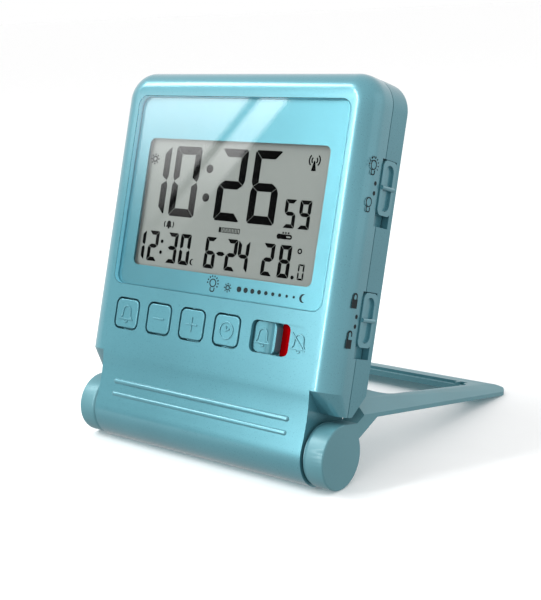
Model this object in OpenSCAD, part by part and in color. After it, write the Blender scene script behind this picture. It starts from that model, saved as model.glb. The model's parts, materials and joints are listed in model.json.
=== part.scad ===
// Radio-controlled travel alarm clock with a flip-over stand frame.
// Drawn in a clock frame first: X to the right, Y to the back, Z up the face,
// with the hinge line of the stand at the origin. place() then leans the clock
// back on its stand, so that the table is the plane Z = 0.

/* [Case] */
// Width of the case
case_w = 84; // [82:0.5:92]
// Thickness of the case from the face to the flat back
case_t = 15.4; // [15:0.1:18]
// Height of the crease line, below the keys, above the hinge line
crease_up = 15.4; // [14.8:0.1:17]
// Height of the case's bottom edge above the hinge line
skirt_up = 9.9; // [9.4:0.1:11]
// Bare face above the lens
brow_h = 7.2; // [6:0.1:10]
// Corner radius of the case in the front view
corner_r = 8; // [6.5:0.25:10]
// Rounding of the edge round the face
edge_r = 5.2; // [4:0.1:6]
// Wall thickness of the sides, top and back
wall = 1.8; // [1.5:0.1:2.2]
// Depth of the parting groove between the case halves
groove_d = 0.35; // [0.2:0.05:0.6]
// Width of the parting groove
groove_w = 0.25; // [0.15:0.05:0.5]

/* [Display] */
// Bare face beside the lens
lens_side = 6.5; // [5.8:0.1:8]
// Height of the lens
lens_h = 52.2; // [50:0.2:56]
// Thickness of the lens
lens_t = 1.4; // [1:0.1:1.8]
// Corner radius of the lens
lens_r = 2.8; // [1.5:0.1:4]
// Lower edge of the lens above the crease
lens_up = 18.9; // [18:0.1:22]
// Printed border beside the visible display
view_side = 5; // [4:0.1:7]
// Printed border above the visible display
view_brow = 11.4; // [10:0.1:14]
// Lower edge of the visible display above the lens's edge
view_up = 5.7; // [5.2:0.1:7]
// Corner radius of the visible display
view_r = 1.8; // [0.8:0.1:3]
// Thickness of the printed film behind the lens
film_t = 0.15; // [0.1:0.05:0.3]
// Thickness of the case ledge behind the film
ledge_t = 1.05; // [0.8:0.05:1.4]
// Thickness of the display glass
glass_t = 1.8; // [1.4:0.1:2.2]
// Thickness of the light guide
guide_t = 1.2; // [1:0.1:1.6]
// Border of the display glass outside the visible field
glass_rim = 2.5; // [2:0.1:3]
// Contact strip of the glass below the visible field
glass_foot = 4; // [3.6:0.1:4.4]
// Wall of the frame that holds the glass
holder_wall = 2; // [1.5:0.1:2.4]

/* [Keys] */
// Width of a key
key_w = 8; // [7:0.1:8.8]
// Height of a key
key_h = 7.8; // [7:0.1:8.6]
// Corner radius of a key
key_r = 1.5; // [0.8:0.1:2.5]
// Centre of the first key, from the left edge of the lens
key_inset = 7; // [6.6:0.1:7.6]
// Centre of the key row above the crease
key_up = 10.8; // [10.4:0.1:11.6]
// Height of the key tops over the face
key_proud = 0.1; // [0.05:0.05:0.6]
// Travel of a key
key_travel = 0.6; // [0.3:0.05:0.7]
// Rim of the key's flange behind the face
key_lip = 0.8; // [0.6:0.05:1]

/* [Alarm slide] */
// Centre of the slide's place in the key row, from the right edge of the lens
slide_inset = 16.4; // [16:0.1:16.8]
// Width of the slide's knob
alarm_w = 8.6; // [7.8:0.1:9]
// Travel of the slide
alarm_travel = 3; // [2.4:0.1:3.4]
// Width of the red field that shows with the alarm on
flag_w = 3.3; // [2.6:0.1:3.4]
// Width of the shallow land to the right of the slot
land_w = 5.4; // [4.5:0.1:6]
// Depth of the shallow land
land_d = 0.4; // [0.2:0.05:0.6]
// Depth of the slot under the face
slot_d = 1.9; // [1.7:0.05:2]
// Depth of the knob's dish under the face
dish_d = 1.2; // [0.9:0.05:1.3]
// Radius of the knob's sweep up to the thumb ridge
sweep_r = 5; // [4:0.1:6]
// Width of the thumb ridge's top on the knob
ridge_w = 0.8; // [0.6:0.1:1.2]
// Height of the thumb ridge over the face
ridge_proud = 0.9; // [0.6:0.05:1.1]

/* [Side slides] */
// Width of a side slide's slot across the case side
side_w = 6.4; // [5.6:0.1:6.6]
// Length of a side slide's knob
side_l = 13.5; // [12:0.1:14.5]
// Travel of a side slide
side_travel = 2.7; // [2:0.1:3.2]
// Upper end of the light slide's slot above the crease
light_up = 58.2; // [56:0.1:60]
// Upper end of the lock slide's slot above the crease
lock_up = 25.6; // [25:0.1:27]
// Height of a side slide's knob over the case side
side_proud = 0.4; // [0.1:0.05:0.8]
// Radius of the bar across a side slide's dish
side_bar_r = 0.55; // [0.4:0.05:0.8]

/* [Hinge and stand] */
// Radius of the fixed barrel under the face
barrel_r = 8.5; // [8:0.1:9]
// Width from the case side to the end of the fixed barrel
knuckle_w = 6.5; // [5.5:0.1:8]
// Radius of the stand's knuckles
knuckle_r = 8.2; // [7.6:0.1:8.2]
// Radius of the knuckles' inner rims
knuckle_bevel = 1.2; // [0.6:0.1:1.4]
// Radius of the knuckles' outer rims
knuckle_rim = 0.4; // [0.3:0.1:1]
// Width of the flat sole under the barrel
sole_w = 4; // [2.5:0.1:6]
// Depth of the hollow below the crease
scoop_d = 0.6; // [0.3:0.05:0.8]
// Distance from the barrel's ends to the ends of the two raised ribs
rib_in = 5.9; // [3:0.1:10]
// Height of the upper rib above the hinge line
rib_up = 7.4; // [6:0.1:9]
// Distance from rib to rib
rib_pitch = 3.5; // [2.5:0.1:4]
// Radius of the raised ribs
rib_r = 0.75; // [0.5:0.05:1]
// Radius of the hinge pins
pin_r = 2.5; // [2:0.1:3]
// Wall of the bushes that carry the pins
bush_t = 1.5; // [1:0.1:2]
// Length of a bush
bush_l = 6; // [4:0.1:8]
// Thickness of the friction washers
washer_t = 0.4; // [0.3:0.05:0.6]
// Reach of the stand from the hinge line to its far edge
stand_reach = 87; // [84:0.5:90]
// Width of the stand's arms
arm_w = 5.6; // [5:0.1:6]
// Height of the arms' ridge over the stand's underside
arm_h = 3.8; // [3.4:0.1:4.4]
// Height of the ridge at the root of the arms
root_h = 6.6; // [5.4:0.1:7]
// Height of the upright band round the stand's outer edge
band_h = 1.1; // [0.8:0.1:1.6]
// Depth of the stand's far bar
bar_w = 14.2; // [12:0.1:16]
// Depth of the level top of the far bar
bar_flat = 7; // [5:0.1:8]
// Height of the far bar over the stand's underside
bar_h = 3.2; // [3:0.1:3.6]
// Depth of the groove along the far bar's inner edge
bar_groove = 0.8; // [0.4:0.05:0.9]
// Corner radius of the stand's far corners
stand_r = 3.5; // [3:0.25:7]
// Depth of the flat foot under the far edge
foot_w = 2.5; // [1.5:0.1:3.5]
// Rise of the open stand over the square to the case back
open_angle = 5.9; // [3:0.1:8]

/* [Inside] */
// Thickness of the circuit board
board_t = 1; // [0.8:0.1:1.6]
// Radius of a battery cell
cell_r = 5.25; // [5.1:0.05:5.3]
// Length of a battery cell with its nub
cell_l = 44.5; // [43.5:0.1:45]
// Thickness of the battery door
door_t = 1.2; // [1:0.1:1.6]
// Radius of the antenna's ferrite rod
rod_r = 3; // [2.4:0.1:3.3]
// Length of the antenna's ferrite rod
rod_l = 56; // [48:0.5:60]
// Length of the antenna's winding
coil_l = 18; // [12:0.5:24]
// Radius of the controller's resin drop
chip_r = 6; // [5:0.1:7]
// Length of the quartz can
quartz_l = 6.2; // [5:0.1:8]
// Radius of the quartz can
quartz_r = 1.05; // [0.8:0.05:1.5]
// Width of the receiver board
receiver_w = 14; // [12:0.1:16]
// Height of the receiver board
receiver_h = 10; // [8:0.1:11]
// Width of a night-light lamp
led_w = 1.8; // [1.4:0.1:2.2]
// Height of a night-light lamp
led_h = 3; // [2:0.1:4]
// Distance of a night-light lamp from the middle of the display
led_spread = 8; // [6:0.1:10]
// Space between the parts on the board
part_gap = 2; // [1.5:0.1:2.5]
// Width of the switch under a key
switch_w = 6; // [5:0.1:7]
// Radius of a key's stem
switch_r = 1.6; // [1.2:0.1:2]
// Thickness of a battery contact leaf
leaf_t = 0.3; // [0.2:0.05:0.5]
// Width of a battery contact leaf
leaf_w = 8; // [6:0.1:9]
// Radius of the buzzer
buzzer_r = 8; // [7:0.1:8.5]
// Radius of a case screw's thread
screw_r = 1; // [0.8:0.05:1.2]

/* [Clearances] */
// Gap round a key in its hole
key_gap = 0.5; // [0.25:0.05:0.6]
// Gap round a slide's knob in its slot
slide_gap = 0.2; // [0.1:0.05:0.3]
// Gap round a piece that is set in and stays
set_gap = 0.1; // [0.05:0.05:0.2]
// Running gap between a pin and its bush
run_gap = 0.05; // [0.02:0.01:0.1]
// Gap round a thread or a pressed pin
thread_gap = 0.02; // [0.01:0.01:0.04]
// Gap between pieces that pass each other
pass_gap = 0.3; // [0.2:0.05:0.5]

/* [Hidden] */
$fn = 64;

// Levels through the case, from the face to the back
half_w = case_w/2;
face_proud = 0.1;
face_y = -barrel_r - face_proud;
back_y = face_y + case_t;
back_in = back_y - wall;
ledge_y = face_y + lens_t + film_t;
inner_y = ledge_y + ledge_t;
guide_y = inner_y + glass_t;
guide_gap = 0.2;
board_y = guide_y + guide_t + guide_gap;
board_back = board_y + board_t;
bay_clear = 0.2;
bay_t = 0.8;
bay_y = board_back + bay_clear;
bay_floor = bay_y + bay_t;
cell_y = bay_floor + cell_r;
door_y = cell_y + cell_r + set_gap;
hump_y = door_y + door_t;

// Widths across the face
lens_w = case_w - 2*lens_side;
view_w = lens_w - 2*view_side;
view_h = lens_h - view_up - view_brow;
barrel_w = case_w - 2*knuckle_w;
rib_x = barrel_w/2 - rib_in;
key_x = key_inset - lens_w/2;
key_pitch = (lens_w - key_inset - slide_inset)/4;
alarm_x = lens_w/2 - slide_inset - key_w/2;

// Heights up the face
lens_z = crease_up + lens_up;
lens_top = lens_z + lens_h;
top_z = lens_top + brow_h;
view_z = lens_z + view_up;
view_mid = view_z + view_h/2;
glass_z0 = view_z - glass_foot;
glass_z1 = view_z + view_h + glass_rim;
glass_x = view_w/2 + glass_rim;
holder_x = glass_x + set_gap + holder_wall;
holder_z0 = glass_z0 - set_gap - holder_wall;
holder_z1 = glass_z1 + set_gap + holder_wall;
key_z = crease_up + key_up;
in_x = half_w - wall;
bevel_in = 2;
cave_z0 = crease_up + wall;
cave_z1 = top_z - wall;

// Board outline and its fixings
board_foot = 0.6;
board_head = 4;
board_edge = 1.6;
board_z0 = key_z - key_h/2 - key_lip - board_foot;
board_z1 = holder_z1 + board_head;
board_boss_r = 1.6;
board_screw_r = 0.8;
board_x = in_x - board_edge;
board_fix_x = holder_x + board_boss_r + set_gap;
board_fix_z = (crease_up + light_up - side_l - side_travel + crease_up + lock_up)/2 + 1.5;
board_fix_top = holder_z1 + board_boss_r + set_gap;
board_top_x = 24;
board_fix = [[-board_fix_x, board_fix_z], [board_fix_x, board_fix_z],
             [-board_top_x, board_fix_top], [board_top_x, board_fix_top]];

// Case screws, one in each corner
boss_wall = 1.5;
boss_r = screw_r + boss_wall;
head_r = 2*screw_r;
head_d = 1.4;
head_sink = 0.3;
cross_w = 0.7;
cross_l = 3;
cross_d = 0.6;
fix_out = 1.2;
fix_rise = 2;
fix_top_x = half_w - corner_r + fix_out;
fix_top_z = top_z - corner_r + fix_rise;
fix_low_x = barrel_w/2 - boss_r - 2*set_gap;
fix_low_z = board_z0 - boss_r - pass_gap;
case_fix = [[-fix_top_x, fix_top_z], [fix_top_x, fix_top_z], [-fix_low_x, fix_low_z], [fix_low_x, fix_low_z]];

// Alarm slide
alarm_slot_w = alarm_w + alarm_travel + 2*slide_gap;
alarm_floor = face_y + slot_d;
flag_t = 0.1;
stem_w = 2.6;
stem_h = 1.6;
knob_x = alarm_x + slide_gap + alarm_w/2;
flag_clear = 0.08;
knob_base = alarm_floor - flag_t - flag_clear;
ridge_rise = dish_d + ridge_proud;
sweep_w = sqrt(ridge_rise*(2*sweep_r - ridge_rise));
alarm_stem_w = 1.6;
stem_x = knob_x - alarm_w/2 + 1;
foot_h = 5;
alarm_slot_h = key_h + 2*slide_gap;
alarm_slot_r = key_r + slide_gap;

// Side slides
side_y = back_y - wall - side_w/2 + set_gap;
side_plate_t = 0.8;
side_r = 1.6;
side_sink = 0.3;
side_over = 0.8;
side_rim = 1.1;
hollow_d = 0.7;
hollow_w = side_w - 2*slide_gap - 2*side_rim;
side_slot_l = side_l + side_travel + 2*slide_gap;
side_in = in_x - set_gap - side_plate_t;
side_stem = 3;

// Hinge
sole_h = sqrt(barrel_r*barrel_r - sole_w*sole_w/4);
bush_r = pin_r + run_gap + bush_t;
knuckle_x = barrel_w/2 + washer_t + 2*run_gap;
pin_x0 = barrel_w/2 - bush_l;
pin_x1 = half_w - 2;

// Stand frame in its own frame: Y along the arms, Z away from the hinge line
stand_low = -face_y + pass_gap;
arm_in = half_w - arm_w;
groove_x = arm_in - 5;
groove_depth = 2.6;
pocket_gap = 0.7;
pocket_l = 2.3;
hollow_h = bar_h - 2.4;
foot_y = stand_reach - foot_w;
foot_dist = sqrt(foot_y*foot_y + stand_low*stand_low);
stand_tilt = atan2(stand_low, foot_y) + asin(sole_h/foot_dist);
lean = open_angle + stand_tilt;
arm_flat = 1.2;
bevel_k = (arm_h - band_h)/(arm_w - arm_flat);
root_in = half_w - arm_flat - (root_h - band_h)/bevel_k;
root_y = 16;
root_start = 9.5;
root_knee = 12.6;
root_drop = 1.4;
flare_y = 15;
flare_l = 17;
flare_n = 12;
neck_y = 8;
arm_y = 12;
neck_step = 0.7;
neck_run = 2.6;
neck_low = 4.65;
neck_top = stand_low + 4.5;
web_end = 5.6;
web_top = knuckle_r - 0.1;

// Reach to the front and to the back in the leaning pose
far_y = stand_reach*cos(stand_tilt) + (stand_low + band_h)*sin(stand_tilt);
shift_y = (barrel_r - far_y)/2;

// Colours
teal = [0.45, 0.72, 0.78];
teal_dark = [0.36, 0.51, 0.55];
cyan = [0.66, 0.87, 0.92];
grey_lcd = [0.6, 0.62, 0.57];
board_green = [0.1, 0.36, 0.2];
steel = [0.75, 0.76, 0.78];
black = [0.1, 0.1, 0.11];
white = [0.9, 0.9, 0.88];
red = [0.7, 0.02, 0.03];

// Leans the clock back and stands it on the table
module place() {
    translate([0, shift_y, sole_h]) rotate([-lean, 0, 0]) children();
}

// Puts the stand frame into its open position
module stand_place() {
    place() rotate([open_angle, 0, 0]) children();
}

// Box from one corner to the opposite one
module block(a, b) {
    translate(a) cube(b - a);
}

// Rectangle with round corners, about its centre
module round_rect(w, h, r) {
    square([w - 2*r, h], center = true);
    square([w, h - 2*r], center = true);
    for (sx = [-1, 1], sz = [-1, 1]) translate([sx*(w/2 - r), sz*(h/2 - r)]) circle(r);
}

// Plate parallel to the face, drawn with X across and Z up, from y0 to y1
module plate(y0, y1) {
    translate([0, y1, 0]) rotate([90, 0, 0]) linear_extrude(y1 - y0) children();
}

// Bar along X from x0 to x1, drawn with Y to the right and Z up
module along_x(x0, x1) {
    translate([x0, 0, 0]) rotate([90, 0, 90]) linear_extrude(x1 - x0) children();
}

// Cylinder along Y from y0 to y1
module rod_y(r, y0, y1) {
    translate([0, y0, 0]) rotate([-90, 0, 0]) cylinder(r = r, h = y1 - y0);
}

// Cylinder along X from x0 to x1
module rod_x(r, x0, x1) {
    translate([x0, 0, 0]) rotate([0, 90, 0]) cylinder(r = r, h = x1 - x0);
}

// Square-edged profile from the face to the back with a rounded front corner
module edge_profile(depth, inner) {
    translate([0, face_y + edge_r]) square([depth, case_t - edge_r]);
    translate([0, face_y]) square([depth - edge_r, case_t]);
    intersection() {
        translate([depth - edge_r, face_y + edge_r]) circle(edge_r);
        translate([depth - edge_r, face_y]) square([edge_r, edge_r + 0.5]);
    }
    if (inner > 0) translate([-inner, face_y]) square([inner + 0.5, case_t]);
}

// Outline of the case skirt seen from above, with its front at y0 and its back at y1
module skirt_slice(y0, y1, r) {
    linear_extrude(0.2) {
        translate([-half_w + r, y0]) square([case_w - 2*r, y1 - y0]);
        translate([-half_w, y0 + r]) square([case_w, y1 - y0 - r]);
        for (s = [-1, 1]) translate([s*(half_w - r), y0 + r]) circle(r, $fn = 48);
    }
}

// Whole outside of the case, both halves with the barrel
module case_outer() {
    straight_x = half_w - corner_r;
    straight_z = top_z - corner_r;
    skirt_draw = crease_up - skirt_up + 0.4;
    // Middle, with the rounded upper front edge
    along_x(-straight_x, straight_x)
        translate([0, straight_z]) mirror([1, -1]) edge_profile(corner_r, straight_z - crease_up);
    // Sides, with the rounded front edges
    for (s = [0, 1]) mirror([s, 0, 0]) translate([straight_x, 0, crease_up])
        linear_extrude(straight_z - crease_up) edge_profile(corner_r, straight_x);
    // Upper corners
    for (s = [0, 1]) mirror([s, 0, 0]) translate([straight_x, 0, straight_z])
        rotate([-90, 0, 0]) rotate([0, 0, -90]) rotate_extrude(angle = 90) edge_profile(corner_r, 0);
    // Skirt, drawn in at the front and the back below the crease
    hull() {
        translate([0, 0, crease_up]) skirt_slice(face_y, back_y, edge_r);
        translate([0, 0, skirt_up]) skirt_slice(face_y + skirt_draw, back_y - skirt_draw + 0.8, 2.4);
    }
    // Barrel and the hollowed panel above it; the hollow runs into the barrel without a step
    lip = [face_y, crease_up];
    scoop_turn = 2*atan(2*scoop_d/crease_up);
    scoop_way = [-cos(scoop_turn), sin(scoop_turn)];
    lip_out = lip*scoop_way;
    scoop_r = (lip*lip - 2*barrel_r*lip_out + barrel_r*barrel_r)/(2*(lip_out - barrel_r));
    along_x(-barrel_w/2, barrel_w/2) {
        circle(barrel_r);
        difference() {
            polygon([lip, (barrel_r - 0.05)*scoop_way, [0, 0], [barrel_r - 0.2, 1.6], [back_y, crease_up]]);
            translate((barrel_r + scoop_r)*scoop_way) circle(scoop_r, $fn = 256);
        }
    }
}

// Hollow inside both case halves
module case_cave() {
    intersection() {
        plate(inner_y, back_in) {
            translate([0, (cave_z0 + cave_z1)/2]) round_rect(2*in_x, cave_z1 - cave_z0, corner_r - wall);
            translate([-in_x, cave_z0]) square([2*in_x, (cave_z1 - cave_z0)/2]);
        }
        translate([0, 0, cave_z0]) linear_extrude(cave_z1 - cave_z0)
            polygon([[-in_x + bevel_in, inner_y], [in_x - bevel_in, inner_y], [in_x, inner_y + bevel_in],
                     [in_x, back_in], [-in_x, back_in], [-in_x, inner_y + bevel_in]]);
        along_x(-in_x, in_x)
            polygon([[inner_y, cave_z0], [back_in, cave_z0], [back_in, cave_z1],
                     [inner_y + bevel_in, cave_z1], [inner_y, cave_z1 - bevel_in]]);
    }
}

// Hollow of the barrel and of the panel above it
module barrel_cave() {
    rod_x(barrel_r - wall, -pin_x0 + 2, pin_x0 - 2);
    block([-pin_x0 + 2, face_y + scoop_d + wall, 0], [pin_x0 - 2, back_in, cave_z0 + 0.5]);
}

// Seats of the two hinge bushes
module bush_seats() {
    for (s = [0, 1]) mirror([s, 0, 0]) rod_x(bush_r + set_gap/2, pin_x0 - 0.5, half_w);
}

// Openings of the two side slides through the case side
module side_slots() {
    for (up = [light_up, lock_up])
        block([in_x - 0.5, side_y - side_w/2, crease_up + up - side_slot_l],
              [half_w + 1, side_y + side_w/2, crease_up + up]);
}

module front_case() {
    color(teal) place() difference() {
        union() {
            difference() {
                intersection() {
                    case_outer();
                    block([-half_w - 1, face_y - 1, -barrel_r - 1], [half_w + 1, 0, top_z + 1]);
                }
                case_cave();
                barrel_cave();
            }
            for (p = case_fix) translate([p[0], 0, p[1]]) rod_y(boss_r, inner_y - 0.4, 0);
            for (p = board_fix) translate([p[0], 0, p[1]]) rod_y(board_boss_r, inner_y - 0.4, board_y);
            for (i = [0, 1]) translate([0, face_y + scoop_d + 0.35, rib_up - rib_pitch*i]) {
                rod_x(rib_r, -rib_x, rib_x);
                for (s = [-1, 1]) translate([s*rib_x, 0, 0]) sphere(rib_r);
            }
        }
        // Lens bed and display window
        plate(face_y - 1, ledge_y) translate([0, lens_z + lens_h/2])
            round_rect(lens_w + 2*set_gap, lens_h + 2*set_gap, lens_r + set_gap);
        plate(face_y, inner_y + 0.5) translate([0, view_mid]) round_rect(view_w + 1, view_h + 1, view_r);
        // Key holes
        for (i = [0:3]) plate(face_y - 1, inner_y + 0.5) translate([key_x + i*key_pitch, key_z])
            round_rect(key_w + 2*key_gap, key_h + 2*key_gap, key_r + key_gap);
        // Alarm slide: slot, shallow land and slit for the stem
        plate(face_y - 1, alarm_floor) translate([alarm_x + alarm_slot_w/2, key_z])
            round_rect(alarm_slot_w, alarm_slot_h, alarm_slot_r);
        plate(face_y - 1, face_y + land_d) translate([alarm_x + (alarm_slot_w + land_w)/2, key_z])
            round_rect(alarm_slot_w + land_w, alarm_slot_h, alarm_slot_r);
        translate([stem_x, 0, key_z])
            block([-alarm_stem_w/2 - slide_gap, alarm_floor - 0.5, -stem_h/2 - slide_gap],
                  [alarm_stem_w/2 + alarm_travel + slide_gap, inner_y + 0.5, stem_h/2 + slide_gap]);
        side_slots();
        for (p = case_fix) translate([p[0], 0, p[1]]) rod_y(screw_r + thread_gap, inner_y + 0.6, 1);
        for (p = board_fix) translate([p[0], 0, p[1]])
            rod_y(board_screw_r + thread_gap, inner_y + 0.6, board_y + 1);
        bush_seats();
        // Parting groove round the sides and the top
        difference() {
            block([-half_w - 1, -groove_w, skirt_up - 1], [half_w + 1, 1, top_z + 1]);
            plate(-groove_w - 1, 2) translate([0, top_z/2])
                round_rect(case_w - 2*groove_d, top_z - 2*groove_d, corner_r - groove_d);
        }
    }
}

// Battery bay measures
contact_l = 2.6;
cell_gap = 0.5;
bay_drop = 10;
bay_wall = 1.2;
hump_side = 1.4;
hump_ends = 1.6;
hump_r = 3;
bay_x = cell_l/2 + contact_l;
cell_pitch = 2*cell_r + cell_gap;
bay_z = view_mid - bay_drop;
bay_h = 2*cell_pitch + 0.6;
hump_x = bay_x + bay_wall + hump_side;
hump_h = bay_h + 2*bay_wall + hump_ends;
door_x = bay_x - set_gap;
tongue = 0.7;
tongue_t = 0.5;
tongue_in = 0.2;
grip_up = 3;
grip_pitch = 1.8;
grip_l = 14;
grip_w = 0.8;
grip_proud = 0.4;
door_z0 = bay_z - hump_h/2;
door_z1 = bay_z + bay_h/2 - set_gap;
sound_ring = 3.6;
sound_r = 0.8;
buzzer_t = 3.6;
mouth_r = 1.2;
buzzer_in = 4;
buzzer_x = -in_x + buzzer_r + buzzer_in;
buzzer_z = bay_z + hump_h/2 + buzzer_r + 1;

module rear_case() {
    color(teal_dark) place() difference() {
        union() {
            difference() {
                intersection() {
                    case_outer();
                    block([-half_w - 1, 0, -barrel_r - 1], [half_w + 1, back_y + barrel_r, top_z + 1]);
                }
                case_cave();
                barrel_cave();
            }
            // Raised battery bay on the back, with its box inside
            plate(back_in - 0.2, hump_y) translate([0, bay_z]) round_rect(2*hump_x, hump_h, hump_r);
            block([-bay_x - bay_wall, bay_y, bay_z - bay_h/2 - bay_wall],
                  [bay_x + bay_wall, back_in + 0.5, bay_z + bay_h/2 + bay_wall]);
            for (p = case_fix) translate([p[0], 0, p[1]]) rod_y(boss_r, 0, back_in + 0.4);
        }
        block([-bay_x, bay_floor, bay_z - bay_h/2], [bay_x, hump_y + 1, bay_z + bay_h/2]);
        // Way of the sliding door and its side grooves
        block([-bay_x, door_y - set_gap, door_z0 - 1], [bay_x, hump_y + 1, door_z1]);
        block([-bay_x - tongue - set_gap, door_y + tongue_in, door_z0 - 1],
              [bay_x + tongue + set_gap, door_y + tongue_in + tongue_t + 2*set_gap, bay_z + bay_h/2]);
        for (p = case_fix) translate([p[0], 0, p[1]]) {
            rod_y(screw_r + set_gap, -1, back_y + 1);
            rod_y(head_r + set_gap, back_y - head_d - head_sink, back_y + 1);
        }
        // Sound holes over the buzzer
        for (i = [0:6]) translate([buzzer_x, 0, buzzer_z])
            rotate([0, i*60, 0]) translate([i == 6 ? 0 : sound_ring, 0, 0])
                rod_y(sound_r, back_in - 0.5, back_y + 1);
        side_slots();
        bush_seats();
        // Flat sole under the barrel, parallel to the table
        rotate([lean, 0, 0]) block([-half_w, -barrel_r, -2*barrel_r], [half_w, barrel_r, -sole_h]);
    }
}

module display_lens() {
    color(cyan) place() plate(face_y, face_y + lens_t)
        translate([0, lens_z + lens_h/2]) round_rect(lens_w, lens_h, lens_r);
}

module lens_film() {
    color(teal) place() difference() {
        plate(face_y + lens_t, ledge_y) translate([0, lens_z + lens_h/2]) round_rect(lens_w, lens_h, lens_r);
        plate(face_y, ledge_y + 1) translate([0, view_mid]) round_rect(view_w, view_h, view_r);
    }
}

module lcd_glass() {
    color(grey_lcd) place() block([-glass_x, inner_y, glass_z0], [glass_x, guide_y, glass_z1]);
}

module lcd_holder() {
    color(white) place() difference() {
        block([-holder_x, inner_y, holder_z0], [holder_x, board_y, holder_z1]);
        block([-glass_x - set_gap, inner_y - 1, glass_z0 - set_gap],
              [glass_x + set_gap, board_y + 1, glass_z1 + set_gap]);
    }
}

strip_h = glass_foot - 0.5;

module light_guide() {
    color(white) place()
        block([-glass_x + led_w + set_gap, guide_y, view_z], [glass_x, guide_y + guide_t, glass_z1]);
}

module night_leds() {
    color(white) place() for (s = [-1, 1])
        block([-glass_x, guide_y, view_mid + s*led_spread - led_h/2],
              [-glass_x + led_w, board_y, view_mid + s*led_spread + led_h/2]);
}

module contact_strip() {
    color(black) place() block([-glass_x + 2, guide_y, glass_z0], [glass_x - 2, board_y, glass_z0 + strip_h]);
}

module main_board() {
    color(board_green) place() difference() {
        block([-board_x, board_y, board_z0], [board_x, board_back, board_z1]);
        for (p = board_fix) translate([p[0], 0, p[1]])
            rod_y(board_screw_r + set_gap, board_y - 1, board_back + 1);
    }
}

module board_screws() {
    color(steel) place() for (p = board_fix) translate([p[0], 0, p[1]]) {
        rod_y(board_screw_r, inner_y + 0.9, board_back + 0.5);
        rod_y(1.5, board_back, board_back + 0.9);
    }
}

part_z = bay_z + bay_h/2 + bay_wall;
carrier_t = 0.8;
drop_t = 0.7;
receiver_chip = 5;
receiver_chip_t = 1.2;

module controller_chip() {
    color(black) place() translate([-chip_r, 0, part_z + chip_r + part_gap]) {
        rod_y(chip_r, board_back, board_back + carrier_t);
        rod_y(chip_r - part_gap, board_back + carrier_t, board_back + carrier_t + drop_t);
    }
}

module quartz_crystal() {
    color(steel) place() translate([2*part_gap, board_back + quartz_r, part_z + chip_r + part_gap])
        rod_x(quartz_r, 0, quartz_l);
}

module receiver_board() {
    color(board_green) place() {
        translate([receiver_w, 0, part_z + 2*part_gap]) {
            block([0, board_back, 0], [receiver_w, board_back + carrier_t, receiver_h]);
            translate([(receiver_w - receiver_chip)/2, board_back + carrier_t, (receiver_h - receiver_chip)/2])
                block([0, 0, 0], [receiver_chip, receiver_chip_t, receiver_chip]);
        }
    }
}

wind_t = 0.9;
rod_top = 1.4;
rod_y0 = back_in - rod_r - wind_t;
rod_z = cave_z1 - rod_r - rod_top;

module antenna_rod() {
    color(black) place() translate([0, rod_y0, rod_z]) rod_x(rod_r, -rod_l/2, rod_l/2);
}

module antenna_coil() {
    color([0.72, 0.4, 0.2]) place() translate([0, rod_y0, rod_z]) difference() {
        rod_x(rod_r + wind_t, -coil_l/2, coil_l/2);
        rod_x(rod_r, -coil_l, coil_l);
    }
}

module buzzer() {
    color(black) place() translate([buzzer_x, 0, buzzer_z]) difference() {
        rod_y(buzzer_r, back_in - buzzer_t, back_in);
        rod_y(mouth_r, back_in - 1, back_in + 1);
    }
}

module light_sensor() {
    color(black) place()
        block([-glass_x, guide_y, view_mid - 1.2], [-glass_x + led_w, board_y, view_mid + 1.2]);
}

module heat_sensor() {
    color(black) place() translate([-in_x + 6, 0, board_z0 + 4]) {
        rod_y(0.4, board_back, board_back + 1.4);
        translate([0, board_back + 2, 0]) sphere(0.9);
    }
}

flange_y = inner_y + 0.7;
switch_y = flange_y + key_travel + pass_gap;
stem_end = switch_y + 0.35;

module key_switches() {
    color(black) place() for (i = [0:3]) translate([key_x + i*key_pitch, 0, key_z]) difference() {
        block([-switch_w/2, switch_y, -switch_w/2], [switch_w/2, board_y, switch_w/2]);
        rod_y(switch_r + set_gap, switch_y - 1, stem_end + key_travel + pass_gap);
    }
}

// One key: cap, flange behind the face and stem into its switch
module key(i) {
    place() translate([key_x + i*key_pitch, 0, key_z]) {
        plate(face_y - key_proud, inner_y + 0.2) round_rect(key_w, key_h, key_r);
        plate(inner_y + set_gap, flange_y) round_rect(key_w + 2*key_lip, key_h + 2*key_lip, key_r);
        rod_y(switch_r, inner_y + 0.5, stem_end);
    }
}

module alarm_key() {
    color(teal) key(0);
}

module minus_key() {
    color(teal) key(1);
}

module plus_key() {
    color(teal) key(2);
}

module time_key() {
    color(teal) key(3);
}

alarm_base_y = inner_y + 1.1;

// Plan of the alarm knob, seen from above: a sunk plate that sweeps up to a thumb ridge at its right end
module alarm_plan() {
    sweep_x = alarm_w/2 - ridge_w - sweep_w;
    translate([-alarm_w, face_y + dish_d]) square([2*alarm_w, slot_d]);
    difference() {
        translate([sweep_x, face_y - ridge_proud]) square([alarm_w, ridge_rise + 0.1]);
        translate([sweep_x, face_y + dish_d - sweep_r]) circle(sweep_r);
    }
}

module alarm_slide() {
    color(teal) place() translate([0, 0, key_z]) {
        translate([knob_x, 0, 0]) intersection() {
            plate(face_y - 2, knob_base) round_rect(alarm_w, key_h, key_r);
            translate([0, 0, -key_h]) linear_extrude(2*key_h) alarm_plan();
        }
        translate([stem_x, 0, 0]) {
            block([-alarm_stem_w/2, knob_base - 0.2, -stem_h/2], [alarm_stem_w/2, board_y - 0.6, stem_h/2]);
            block([-alarm_stem_w/2 - 0.6, inner_y + 0.1, -foot_h/2],
                  [alarm_stem_w/2 + 0.6, inner_y + 0.7, foot_h/2]);
        }
    }
}

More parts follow.
